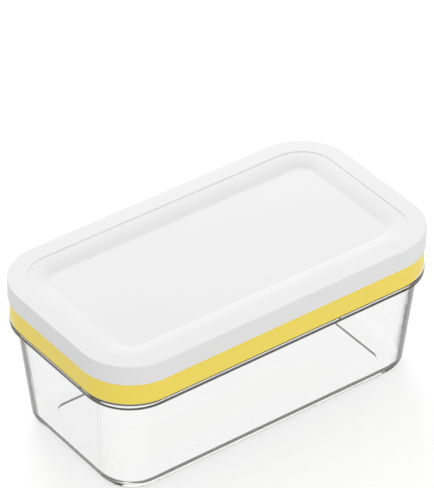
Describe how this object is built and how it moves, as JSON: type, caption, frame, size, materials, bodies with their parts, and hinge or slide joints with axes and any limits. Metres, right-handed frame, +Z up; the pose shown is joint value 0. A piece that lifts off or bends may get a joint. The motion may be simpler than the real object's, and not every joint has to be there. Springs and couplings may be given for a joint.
{
  "type": "butter dish with cutter",
  "caption": "Clear rectangular tub for a block of butter, with a frame of thin wires that seats on its rim and slices the block, and a flat lid with a shallow recess.",
  "frame": {"origin": "the middle of the underside of the container's foot, which is the middle of the bottom of the bounding box", "axes": "+X along the length, +Y along the width, away from the side shown at the front in the picture, +Z up"},
  "size_m": [0.1698, 0.094, 0.0716],
  "materials": {
    "clear_plastic": "clear and polished",
    "yellow_plastic": "smooth, with a soft gloss",
    "white_plastic": "smooth, with a soft gloss",
    "steel_wire": "drawn stainless wire"
  },
  "bodies": {
    "container": {"container": "clear_plastic"},
    "cutter": {"cutter_lower_ring": "yellow_plastic", "cutter_upper_ring": "yellow_plastic", "long_wire": "steel_wire", "cross_wire_01": "steel_wire", "cross_wire_02": "steel_wire", "cross_wire_03": "steel_wire", "cross_wire_04": "steel_wire", "cross_wire_05": "steel_wire", "cross_wire_06": "steel_wire", "cross_wire_07": "steel_wire", "cross_wire_08": "steel_wire", "cross_wire_09": "steel_wire", "cross_wire_10": "steel_wire", "cross_wire_11": "steel_wire", "cross_wire_12": "steel_wire", "cross_wire_13": "steel_wire", "cross_wire_14": "steel_wire", "cross_wire_15": "steel_wire", "cross_wire_16": "steel_wire", "cross_wire_17": "steel_wire", "cross_wire_18": "steel_wire", "cross_wire_19": "steel_wire"},
    "lid": {"lid": "white_plastic"}
  },
  "joints": [
    {"name": "cutter_lift", "type": "slide", "parent": "container", "child": "cutter", "axis": [0, 0, 1], "range_m": [0, 0.0356]},
    {"name": "lid_lift", "type": "slide", "parent": "cutter", "child": "lid", "axis": [0, 0, 1], "range_m": [0, 0.0352]}
  ]
}
